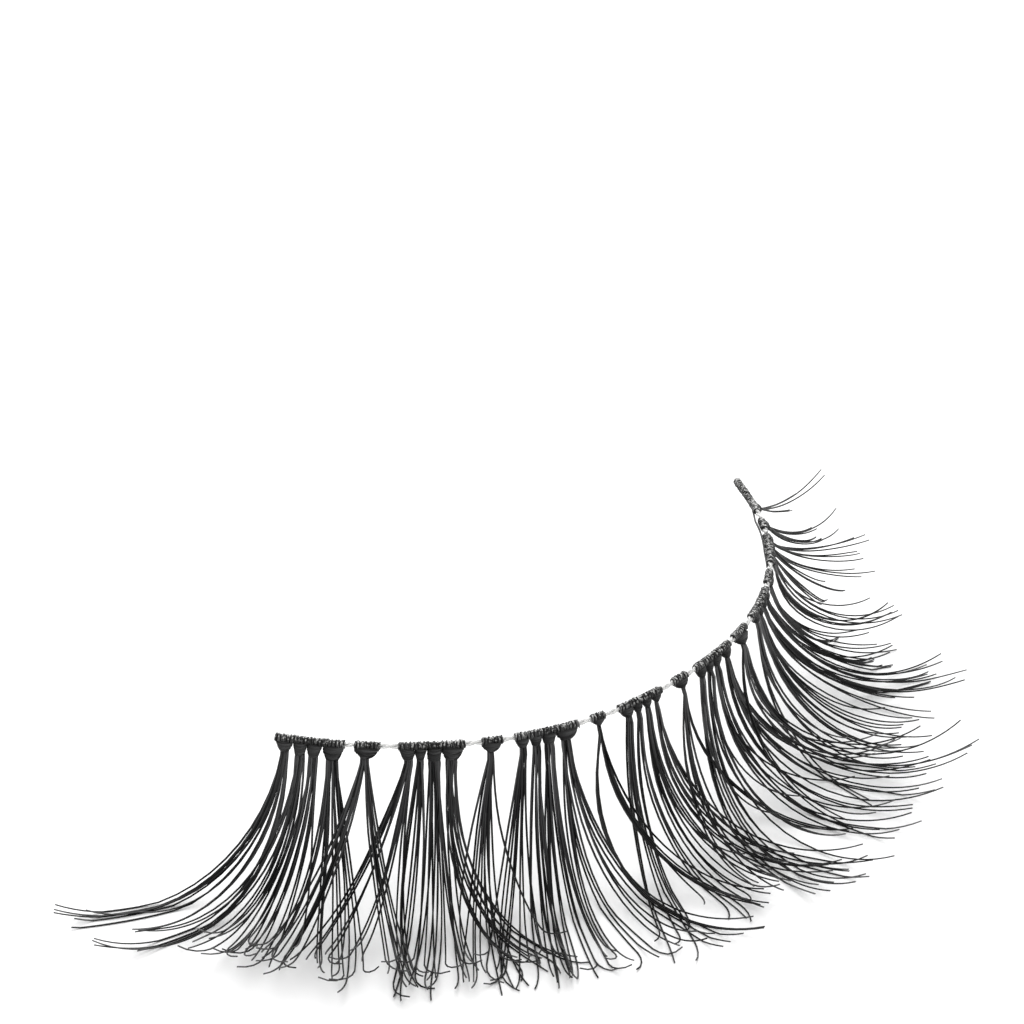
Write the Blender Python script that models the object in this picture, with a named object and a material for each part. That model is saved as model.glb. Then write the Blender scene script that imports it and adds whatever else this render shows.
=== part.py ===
"""A false eyelash strip: knots of hair tied round a clear thread, their locks curling down and out.

It lies as it would on a table, its locks' bellies on the surface and its thread above them.
X runs along the chord, from the short-haired end to the long-haired end, Y outwards along the
locks, and Z up. The origin is the centre of the underside.
"""

import math

import bmesh
import bpy
import numpy as np

# Driving sizes, in metres and radians
BAND_LENGTH = 0.0330
BAND_RISE = 0.0052
HAIR_LENGTH = 0.0106
THREAD_RADIUS = 0.00011
BORE_CLEARANCE = 0.000035
SLEEVE_WALL = 0.000125
KNOT_DROP = 0.00050
LOCK_THICKNESS = 0.00020
LOCK_SPREAD = 0.018
THREAD_OVERHANG = 0.00015

# Sizes that follow from these. A full lock is about as wide as the knots are apart
BORE_RADIUS = THREAD_RADIUS + BORE_CLEARANCE
LOCK_WIDTH = LOCK_SPREAD * BAND_LENGTH

# Numbers of faces and steps
ROUND_SIDES = 8
KNOT_SIDES = 6
LOCK_SIDES = 4
THREAD_STEPS = 33
CURVE_STEPS = 660
PATH_STEPS = 60

# The band's bend, in radians of turn over its whole length, at stations along it
BAND_BEND = (
    # share of band, turn if it bent so all the way
    (0.00, 1.78),
    (0.17, 2.05),
    (0.33, 2.67),
    (0.50, 1.91),
    (0.67, 2.28),
    (0.83, 2.18),
    (1.00, 1.45),
)

# The thread's height, which falls towards the short-haired end
BAND_HEIGHT = (
    # share of band, share of the rise
    (0.00, 1.00),
    (0.50, 0.96),
    (1.00, 0.80),
)

# The eight knotted groups. The bare share of a group's end is wound but has no knots. Dips are
# degrees below level, at the root and at the tip. Leans are degrees from square to the band,
# towards the short-haired end, for the first and the last lock
CLUSTERS = (
    # start, end, bare, knots, width, length, dip, tip dip, root lean, last, tip lean, last
    (0.002, 0.075, 0.0, 4, 1.00, 1.05, 71, -22, -18, 0, -72, -10),
    (0.135, 0.210, 0.0, 4, 1.00, 1.00, 72, -20, -12, 0, -22, 18),
    (0.267, 0.345, 0.0, 4, 1.00, 1.00, 72, -20, -16, 0, -14, 18),
    (0.400, 0.464, 0.0, 4, 1.00, 1.00, 71, -20, -22, -14, -6, 24),
    (0.526, 0.599, 0.0, 4, 1.00, 1.00, 70, -21, -27, -14, -10, 26),
    (0.666, 0.738, 0.0, 4, 1.00, 0.98, 67, -21, -24, -8, -18, 28),
    (0.803, 0.874, 0.0, 4, 0.80, 0.45, 50, -10, -4, 4, 2, 42),
    (0.935, 1.000, 0.7, 1, 0.50, 0.50, 24, -16, 12, 24, 24, 44),
)

# The seven single knots between them, in the same columns
SINGLES = (
    # start, end, bare, knots, width, length, dip, tip dip, root lean, last, tip lean, last
    (0.086, 0.115, 0.0, 1, 1.00, 1.00, 62, -18, -22, 4, -34, 12),
    (0.229, 0.253, 0.0, 1, 1.00, 0.98, 64, -18, -20, -8, -6, 8),
    (0.362, 0.380, 0.0, 1, 1.00, 0.98, 64, -18, -22, -10, -4, 22),
    (0.485, 0.509, 0.0, 1, 1.00, 0.98, 63, -18, -32, -22, -14, 6),
    (0.612, 0.645, 0.0, 1, 1.00, 0.98, 58, -18, -30, -18, 0, 14),
    (0.753, 0.782, 0.0, 1, 1.00, 0.76, 75, -14, 3, 12, 16, 36),
    (0.889, 0.912, 0.0, 1, 0.80, 0.32, 34, -4, -4, 8, 4, 24),
)

# A knot's cross-sections, from inside its sleeve to inside the locks that leave it
KNOT_SECTIONS = (
    # share of the drop, share of the knot's own width, share of a lock's width, thickness share
    (0.00, 0.70, 0.0, 1.10),
    (0.40, 0.90, 0.0, 1.70),
    (1.00, 0.00, 0.72, 1.25),
    (1.25, 0.00, 0.60, 0.80),
)

# A lock's cross-sections from its knot to its tip
LOCK_SECTIONS = (
    # share of the length past the knot, width share, thickness share
    (0.00, 0.42, 1.00),
    (0.12, 0.50, 1.00),
    (0.26, 0.60, 1.00),
    (0.41, 0.66, 1.00),
    (0.56, 0.66, 1.00),
    (0.71, 0.60, 0.90),
    (0.86, 0.44, 0.80),
    (1.00, 0.14, 0.50),
)

# The two locks of a knot: where each leaves it, as a share of a lock's width, and its thickness share
LOCK_PAIR = (
    (-0.16, 1.00),
    (0.16, 0.86),
)

# A sleeve's radius between its knots and at its bare end, as shares of its radius at a knot
SLEEVE_VALLEY = 0.88
SLEEVE_TAPER = 0.76

# How far into the sleeve's wall the glued face of a group lies, as a share of the wall
GLUE_FACE_DEPTH = 0.70

HAIR_COLOUR = (0.018, 0.018, 0.020, 1.0)
THREAD_COLOUR = (0.80, 0.80, 0.79, 1.0)


def clear_scene():
    """Take out the objects that Blender starts with."""
    for obj in list(bpy.data.objects):
        bpy.data.objects.remove(obj, do_unlink=True)


def make_material(name, colour, roughness):
    """A plain material with its own colour and gloss."""
    material = bpy.data.materials.new(name)
    material.use_nodes = True
    surface = material.node_tree.nodes["Principled BSDF"]
    surface.inputs["Base Color"].default_value = colour
    surface.inputs["Roughness"].default_value = roughness
    surface.inputs["Metallic"].default_value = 0.0
    material.diffuse_color = colour
    return material


class Band:
    """The thread's line: its points, and its heading in plan, by share of its length."""

    def __init__(self):
        self.share = np.linspace(0.0, 1.0, CURVE_STEPS + 1)
        bend_share, bend = np.array(BAND_BEND).T
        height_share, height = np.array(BAND_HEIGHT).T
        turn = np.interp(self.share, bend_share, bend)
        step = 1.0 / CURVE_STEPS
        heading = np.concatenate([[0.0], np.cumsum((turn[1:] + turn[:-1]) / 2 * step)])
        run = np.stack([np.cos(heading), np.sin(heading)], axis=1)
        place = np.cumsum((run[1:] + run[:-1]) / 2 * step * BAND_LENGTH, axis=0)
        place = np.concatenate([np.zeros((1, 2)), place])
        chord = math.atan2(place[-1, 1], place[-1, 0])
        swing = math.pi - chord
        self.heading = heading + swing
        cos, sin = math.cos(swing), math.sin(swing)
        x = place[:, 0] * cos - place[:, 1] * sin
        y = place[:, 0] * sin + place[:, 1] * cos
        z = np.interp(self.share, height_share, height) * BAND_RISE
        self.points = np.stack([x - x[-1] / 2, y, z], axis=1)

    def at(self, share):
        """The points at these shares of the band's length."""
        return np.stack([np.interp(share, self.share, self.points[:, i]) for i in range(3)], axis=-1)

    def along(self, share):
        """The level direction of the thread, towards the short-haired end."""
        heading = np.interp(share, self.share, self.heading)
        return np.stack([np.cos(heading), np.sin(heading), np.zeros_like(heading)], axis=-1)

    def outward(self, share):
        """The level direction square to the thread, on the side of the locks."""
        along = self.along(share)
        return np.stack([along[..., 1], -along[..., 0], along[..., 2]], axis=-1)


def ring_tube(centres, sides, ups, radius, count, inner=None):
    """Points and faces of a tube round these centres, closed by end faces, with a bore if inner is given."""
    angles = (np.arange(count) + 0.5) * 2 * math.pi / count
    circle = sides[:, None] * np.cos(angles)[None, :, None] + ups[:, None] * np.sin(angles)[None, :, None]
    outer = centres[:, None] + circle * np.reshape(radius, (-1, 1, 1))
    rows = len(centres)
    faces = strip_faces(rows, count, 0, False)
    if inner is None:
        points = outer.reshape(-1, 3)
        faces.append(list(range(count))[::-1])
        faces.append([(rows - 1) * count + i for i in range(count)])
        return points, faces
    hole = centres[:, None] + circle * inner
    points = np.concatenate([outer.reshape(-1, 3), hole.reshape(-1, 3)])
    start = rows * count
    faces += strip_faces(rows, count, start, True)
    last = (rows - 1) * count
    for i in range(count):
        j = (i + 1) % count
        faces.append([j, i, start + i, start + j])
        faces.append([last + i, last + j, start + last + j, start + last + i])
    return points, faces


def strip_faces(rows, count, start, flipped):
    """The four-sided faces between successive rings of points."""
    faces = []
    for row in range(rows - 1):
        for i in range(count):
            j = (i + 1) % count
            a = start + row * count
            face = [a + i, a + j, a + count + j, a + count + i]
            faces.append(face[::-1] if flipped else face)
    return faces


def make_object(name, points, faces, material):
    """An object from these points and faces, its normals turned outwards."""
    mesh = bpy.data.meshes.new(name)
    mesh.from_pydata([tuple(point) for point in points], [], faces)
    shape = bmesh.new()
    shape.from_mesh(mesh)
    bmesh.ops.recalc_face_normals(shape, faces=shape.faces)
    shape.to_mesh(mesh)
    shape.free()
    mesh.materials.append(material)
    obj = bpy.data.objects.new(name, mesh)
    bpy.context.scene.collection.objects.link(obj)
    return obj


def hang(band, share, start, dips, leans, length, steps=PATH_STEPS):
    """A centre line that leaves the band steeply and curls out until its tip points up.

    Its dip below level and its lean along the band both change evenly along its length. It gives
    the points, and between them the direction and the level direction across.
    """
    middle = (np.arange(steps) + 0.5) / steps
    down = np.radians(dips[0] + (dips[1] - dips[0]) * middle)
    aside = np.radians(leans[0] + (leans[1] - leans[0]) * middle)
    level = np.cos(aside)[:, None] * band.outward(share) + np.sin(aside)[:, None] * band.along(share)
    ahead = np.cos(down)[:, None] * level - np.sin(down)[:, None] * np.array([0.0, 0.0, 1.0])
    points = np.concatenate([[start], start + np.cumsum(ahead * length / steps, axis=0)])
    across = np.stack([-level[:, 1], level[:, 0], np.zeros(steps)], axis=1)
    return points, ahead, across


def loft(path, places, widths, heights, count):
    """Points and faces of a closed body round a centre line, with a cross-section at each place."""
    points, ahead, across = path
    grid = np.linspace(0, 1, len(points))
    middle = (grid[1:] + grid[:-1]) / 2
    centres = np.stack([np.interp(places, grid, points[:, i]) for i in range(3)], axis=1)
    forward = np.stack([np.interp(places, middle, ahead[:, i]) for i in range(3)], axis=1)
    sides = np.stack([np.interp(places, middle, across[:, i]) for i in range(3)], axis=1)
    forward /= np.linalg.norm(forward, axis=1)[:, None]
    sides /= np.linalg.norm(sides, axis=1)[:, None]
    ups = np.cross(forward, sides)
    half = 0.5 / math.cos(math.pi / count)
    return ring_tube(centres, sides * widths[:, None] * half, ups * heights[:, None] * half, 1.0, count)


def knot_start(band, share, dip, lean):
    """The point in the middle of the sleeve's wall where a knot starts."""
    down, aside = math.radians(dip), math.radians(lean)
    level = math.cos(aside) * band.outward(share) + math.sin(aside) * band.along(share)
    ahead = math.cos(down) * level - math.sin(down) * np.array([0.0, 0.0, 1.0])
    return band.at(share) + ahead * (BORE_RADIUS + SLEEVE_WALL / 2)


def knot_shape(band, share, drop, own_width, lock_width, dips, leans):
    """Points and faces of one knot: a bulb under the sleeve that narrows to its neck."""
    lean = leans.mean()
    start = knot_start(band, share, dips[0], lean)
    places, own, shared, thick = np.array(KNOT_SECTIONS).T
    path = hang(band, share, start, (dips[0], dips[0]), (lean, lean), drop * places[-1])
    widths = own * own_width + shared * lock_width
    return loft(path, places / places[-1], widths, thick * LOCK_THICKNESS, KNOT_SIDES)


def lock_shape(band, share, drop, length, size, dips, knot_lean, leans, shift):
    """Points and faces of one lock, from its knot's neck to its tip."""
    start = knot_start(band, share, dips[0], knot_lean)
    neck = hang(band, share, start, (dips[0], dips[0]), (knot_lean, knot_lean), drop)[0][-1]
    neck = neck + band.along(share) * shift * size[0]
    places, widths, thick = np.array(LOCK_SECTIONS).T
    path = hang(band, share, neck, dips, leans, length - drop)
    return loft(path, places, widths * size[0], thick * size[1], LOCK_SIDES)


def sleeve_shape(band, start, end, knots_end, knots):
    """The hair wound round the thread under one group: a tube with a bulge at each knot."""
    shares = start + (knots_end - start) * np.linspace(0.0, 1.0, 2 * knots + 1)
    sizes = np.where(np.arange(2 * knots + 1) % 2 == 1, 1.0, SLEEVE_VALLEY)
    if end > knots_end:
        shares = np.append(shares, [(knots_end + end) / 2, end])
        sizes = np.append(sizes, [SLEEVE_VALLEY, SLEEVE_TAPER])
    ups = np.tile([0.0, 0.0, 1.0], (len(shares), 1))
    radii = (BORE_RADIUS + SLEEVE_WALL) * sizes
    centres, sides = band.at(shares), band.outward(shares)
    points, faces = ring_tube(centres, sides, ups, radii, ROUND_SIDES, BORE_RADIUS)
    if knots > 1 and end == knots_end:
        press_flat(points, band, (start + end) / 2, len(shares))
    return points, faces


def press_flat(points, band, share, rows):
    """Move the corners on the sleeve's inner side onto one upright plane, the face that is glued."""
    inward = -band.outward(share)
    depth = BORE_RADIUS + SLEEVE_WALL * GLUE_FACE_DEPTH
    half = ROUND_SIDES // 2
    corners = np.arange(rows)[:, None] * ROUND_SIDES + np.array([half - 1, half])
    corners = corners.ravel()
    offset = (points[corners] - band.at(share)) @ inward
    points[corners] += (depth - offset)[:, None] * inward


def join(base, others):
    """Fuse these objects into the first one and take them out of the scene."""
    for number, other in enumerate(others):
        fuse = base.modifiers.new(f"fuse_{number}", "BOOLEAN")
        fuse.operation = "UNION"
        fuse.solver = "EXACT"
        fuse.object = other
    graph = bpy.context.evaluated_depsgraph_get()
    mesh = bpy.data.meshes.new_from_object(base.evaluated_get(graph))
    base.modifiers.clear()
    base.data = mesh
    for other in others:
        bpy.data.objects.remove(other, do_unlink=True)


def make_fringe(band, name, row, material):
    """One group of knots: its sleeve, its knots and the two locks of each knot, fused."""
    start, end, bare, knots, width, length, dip, tip_dip, lean_a, lean_b, tip_a, tip_b = row
    knots_end = end - (end - start) * bare
    pitch = (knots_end - start) / knots
    base = make_object(name, *sleeve_shape(band, start, end, knots_end, knots), material)
    dips = (dip, tip_dip)
    drop = KNOT_DROP * width
    lock_width = LOCK_WIDTH * width
    fans = np.linspace(0.0, 1.0, 2 * knots)
    leans = np.stack([lean_a + (lean_b - lean_a) * fans, tip_a + (tip_b - tip_a) * fans], axis=1)
    others = []
    for knot in range(knots):
        share = start + pitch * (knot + 0.5)
        pair = leans[2 * knot : 2 * knot + 2]
        root_leans = pair[:, 0]
        shape = knot_shape(band, share, drop, pitch * BAND_LENGTH, lock_width, dips, root_leans)
        others.append(make_object(f"{name}_knot", *shape, material))
        for lean, (shift, thickness) in zip(pair, LOCK_PAIR):
            size = (lock_width, thickness * LOCK_THICKNESS)
            shape = lock_shape(
                band, share, drop, length * HAIR_LENGTH, size, dips, root_leans.mean(), lean, shift
            )
            others.append(make_object(f"{name}_lock", *shape, material))
    join(base, others)
    return base


def make_thread(band, material):
    """The clear thread, a round cord through every sleeve, its ends just past the outer knots."""
    shares = np.linspace(0.0, 1.0, THREAD_STEPS + 1)
    centres = band.at(shares)
    centres[0] -= band.along(0.0) * THREAD_OVERHANG
    centres[-1] += band.along(1.0) * THREAD_OVERHANG
    ups = np.tile([0.0, 0.0, 1.0], (len(shares), 1))
    shape = ring_tube(centres, band.outward(shares), ups, THREAD_RADIUS, ROUND_SIDES)
    return make_object("band_thread", *shape, material)


def centre_on_origin(objects):
    """Move every point so that the origin is the centre of the whole strip's underside."""
    points = np.concatenate([[tuple(v.co) for v in obj.data.vertices] for obj in objects])
    low, high = points.min(axis=0), points.max(axis=0)
    shift = np.array([(low[0] + high[0]) / 2, (low[1] + high[1]) / 2, low[2]])
    for obj in objects:
        for vertex in obj.data.vertices:
            vertex.co = tuple(np.array(vertex.co) - shift)
        obj.data.update()


def main():
    clear_scene()
    hair = make_material("hair", HAIR_COLOUR, 0.42)
    clear = make_material("clear_thread", THREAD_COLOUR, 0.35)
    band = Band()
    objects = [make_thread(band, clear)]
    for number, row in enumerate(CLUSTERS, 1):
        objects.append(make_fringe(band, f"cluster_{number}", row, hair))
    for number, row in enumerate(SINGLES, 1):
        objects.append(make_fringe(band, f"single_{number}", row, hair))
    centre_on_origin(objects)


main()
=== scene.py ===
"""The looks of the false eyelash strip: its hairs, knots and thread, and a stage with a camera.

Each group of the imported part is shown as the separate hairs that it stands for. Lengths are in
millimetres in the tables and in metres everywhere else. Leans and dips are in degrees.
"""

import math
from collections import namedtuple

import bpy
import numpy as np
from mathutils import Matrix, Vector


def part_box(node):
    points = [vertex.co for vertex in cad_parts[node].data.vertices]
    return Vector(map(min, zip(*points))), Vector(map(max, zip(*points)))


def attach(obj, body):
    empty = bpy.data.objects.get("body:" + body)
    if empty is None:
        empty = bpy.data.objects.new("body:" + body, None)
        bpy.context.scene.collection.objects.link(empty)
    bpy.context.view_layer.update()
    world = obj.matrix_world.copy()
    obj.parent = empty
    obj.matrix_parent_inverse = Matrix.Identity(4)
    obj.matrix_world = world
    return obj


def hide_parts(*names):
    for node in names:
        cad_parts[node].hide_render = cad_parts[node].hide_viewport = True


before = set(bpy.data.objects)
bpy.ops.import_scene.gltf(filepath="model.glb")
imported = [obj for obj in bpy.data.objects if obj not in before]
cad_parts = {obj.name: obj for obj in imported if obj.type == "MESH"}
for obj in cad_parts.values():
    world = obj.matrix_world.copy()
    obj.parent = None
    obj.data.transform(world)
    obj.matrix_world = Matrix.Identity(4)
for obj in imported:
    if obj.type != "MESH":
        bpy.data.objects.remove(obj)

bl_info = {
    "name": "Lash strip looks",
    "version": (1, 0, 0),
    "blender": (4, 5, 0),
    "location": "View3D > Sidebar > Lash strip",
    "description": "Builds the hairs, knots and thread of a false eyelash strip, and its stage",
    "category": "Object",
}

MM = 0.001
UP = np.array([0.0, 0.0, 1.0])

# The band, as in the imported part. Hairs leave the winding at the neck start, below the band's line
BAND_LENGTH = 0.0330
BAND_RISE = 0.0052
THREAD_RADIUS = 0.00011
THREAD_OVERHANG = 0.00015
THREAD_STEPS = 33
THREAD_SIDES = 8
NECK_START = 0.0002075
CURVE_STEPS = 660

# How far the band's line goes on straight past its ends, as a share of its length
PAST_ENDS = 0.03

BAND_BEND = (
    # share of band, radians of turn if it bent so all the way
    (0.00, 1.78),
    (0.17, 2.05),
    (0.33, 2.67),
    (0.50, 1.91),
    (0.67, 2.28),
    (0.83, 2.18),
    (1.00, 1.45),
)
BAND_HEIGHT = (
    # share of band, share of the rise
    (0.00, 1.00),
    (0.50, 0.96),
    (1.00, 0.80),
)

# A hair by the way along it: its steps grow shorter, it thins and its lock widens. The ribbon of a
# neck is gone at its end's way, a tip's hook begins at its start's way
STEP_WAY = ((0.0, 0.0), (0.55, 0.72), (1.0, 1.0))
TAPER = ((0.0, 1.15), (0.3, 1.12), (0.55, 0.88), (0.85, 0.82), (1.0, 0.74))
LOCK_WIDTH = ((0.0, 1.0), (0.6, 1.35), (1.0, 1.5))
RIBBON_END = 0.3
HOOK_START = 0.86
SWAY_WAVES = 1.3

# How wide a knot's hairs lie at their roots, as a share of the ribbon at its neck
ROOT_WIDTH = 0.8

# How much chance has a part in a hair: at most, and in its fan, hook, place in its lock and layer.
# The last is in degrees, in the order of the hairs' leans across a neck
CHANCE_LIMIT = 1.6
FAN_CHANCE = 0.6
HOOK_CHANCE = 0.2
PLACE_CHANCE = 0.25
LAYER_CHANCE = 0.5
LEAN_CHANCE = 3

# The length of a hair between two locks, from and to these shares of the locks' own
BETWEEN_LENGTH = (0.62, 0.98)

# A knot's bowl by the way down it: how low a loop hangs and how far its sides rise, as shares of
# the bowl's height, and where its dark core has a section
LOOP_LOW = ((0.0, 0.2), (1.0, 1.0))
LOOP_RISE = ((0.0, 0.02), (0.8, 0.25), (1.0, 0.15))
LOOP_TILT = 0.05
CORE_DEPTHS = np.array([0.15, 0.4, 0.65, 0.85, 1.0])
NECK_HALF_DEPTH = 0.00011
STRAND_SIDES = 4
CORE_SIDES = 8

# The helices wound on the thread: which hand, and metres along the band for each turn. The turn
# wavers in radians, the radius as a share of half a strand
WINDINGS = ((1, 0.00013), (-1, 0.00017), (1, 0.00031))
WINDING_STEPS = 8
TURN_WAVER = 0.12
RADIUS_WAVER = 0.35
CORE_STEPS = 4

# The plies of the thread, and how light each is
PLY_SIDES = 6
PLY_TONES = (0.2, 0.8)
TWIST_STEPS = 10

# The groups of knots, from the long-haired end. Start, tied and end are shares of the band: the
# winding goes from start to end, the knots from start to tied. Drop is how far a neck hangs below
# the winding, wound the winding's radius. Curl is how untidy the tips are, fan the lean between
# neighbouring hairs at their tips in degrees, between the share of neighbouring locks with a hair
# between them, and fine how thick the hairs are, as a share
Group = namedtuple("Group", "start tied end drop dip wound curl fan between fine")
GROUPS = {
    # start, tied, end, drop mm, dip, wound mm, curl, fan, between, fine
    "cluster_1": Group(-0.004, 0.075, 0.075, 0.50, 71, 0.18, 1.0, 2.4, 0.0, 1.0),
    "single_1": Group(0.086, 0.115, 0.115, 0.50, 62, 0.18, 1.0, 2.4, 0.0, 1.0),
    "cluster_2": Group(0.135, 0.210, 0.210, 0.50, 72, 0.18, 1.0, 2.6, 0.0, 1.0),
    "single_2": Group(0.229, 0.253, 0.253, 0.50, 64, 0.18, 1.0, 3.0, 0.0, 1.0),
    "cluster_3": Group(0.267, 0.345, 0.345, 0.50, 72, 0.18, 0.9, 3.0, 0.0, 1.0),
    "single_3": Group(0.362, 0.380, 0.380, 0.50, 64, 0.18, 0.4, 2.0, 0.0, 1.0),
    "cluster_4": Group(0.400, 0.464, 0.464, 0.50, 71, 0.18, 0.6, 3.0, 0.2, 1.0),
    "single_4": Group(0.485, 0.509, 0.509, 0.50, 63, 0.18, 0.2, 3.0, 0.0, 1.0),
    "cluster_5": Group(0.526, 0.599, 0.599, 0.50, 70, 0.18, 0.2, 2.4, 0.2, 0.98),
    "single_5": Group(0.612, 0.645, 0.645, 0.50, 58, 0.18, 0.2, 3.0, 0.4, 0.96),
    "cluster_6": Group(0.666, 0.738, 0.738, 0.50, 67, 0.18, 0.2, 2.4, 0.8, 0.96),
    "single_6": Group(0.753, 0.782, 0.782, 0.50, 76, 0.18, 0.1, 2.4, 1.0, 0.94),
    "cluster_7": Group(0.803, 0.874, 0.874, 0.15, 50, 0.175, 0.1, 3.0, 1.0, 0.92),
    "single_7": Group(0.889, 0.912, 0.912, 0.12, 34, 0.175, 0.0, 2.0, 0.0, 0.9),
    "cluster_8": Group(0.935, 0.9546, 1.018, 0.12, 24, 0.17, 0.0, 1.0, 0.0, 0.85),
}

# Each knot: where it lies on the band, how far its bowl hangs below the winding, and half its neck
KNOTS = {
    # share of band, cup mm, neck half-width mm
    "cluster_1": ((0.0075, 0.28, 0.19), (0.0248, 0.34, 0.21), (0.0400, 0.36, 0.21), (0.0607, 0.42, 0.26)),
    "single_1": ((0.0975, 0.26, 0.19),),
    "cluster_2": ((0.1471, 0.33, 0.19), (0.1595, 0.35, 0.15), (0.1746, 0.37, 0.26), (0.1936, 0.35, 0.25)),
    "single_2": ((0.2383, 0.20, 0.15),),
    "cluster_3": ((0.2764, 0.22, 0.17), (0.2921, 0.22, 0.19), (0.3072, 0.26, 0.23), (0.3273, 0.26, 0.23)),
    "single_3": ((0.3704, 0.10, 0.10),),
    "cluster_4": ((0.4128, 0.22, 0.15), (0.4270, 0.20, 0.14), (0.4409, 0.18, 0.13), (0.4551, 0.14, 0.10)),
    "single_4": ((0.4988, 0.18, 0.11),),
    "cluster_5": ((0.5369, 0.26, 0.16), (0.5519, 0.26, 0.15), (0.5664, 0.24, 0.15), (0.5899, 0.22, 0.16)),
    "single_5": ((0.6279, 0.28, 0.13),),
    "cluster_6": ((0.6795, 0.16, 0.16), (0.6945, 0.14, 0.16), (0.7110, 0.12, 0.16), (0.7290, 0.10, 0.16)),
    "single_6": ((0.7675, 0.14, 0.15),),
    "cluster_7": ((0.8119, 0.06, 0.13), (0.8296, 0.06, 0.13), (0.8474, 0.05, 0.13), (0.8651, 0.05, 0.13)),
    "single_7": ((0.9005, 0.05, 0.12),),
    "cluster_8": ((0.9448, 0.05, 0.07),),
}

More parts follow.
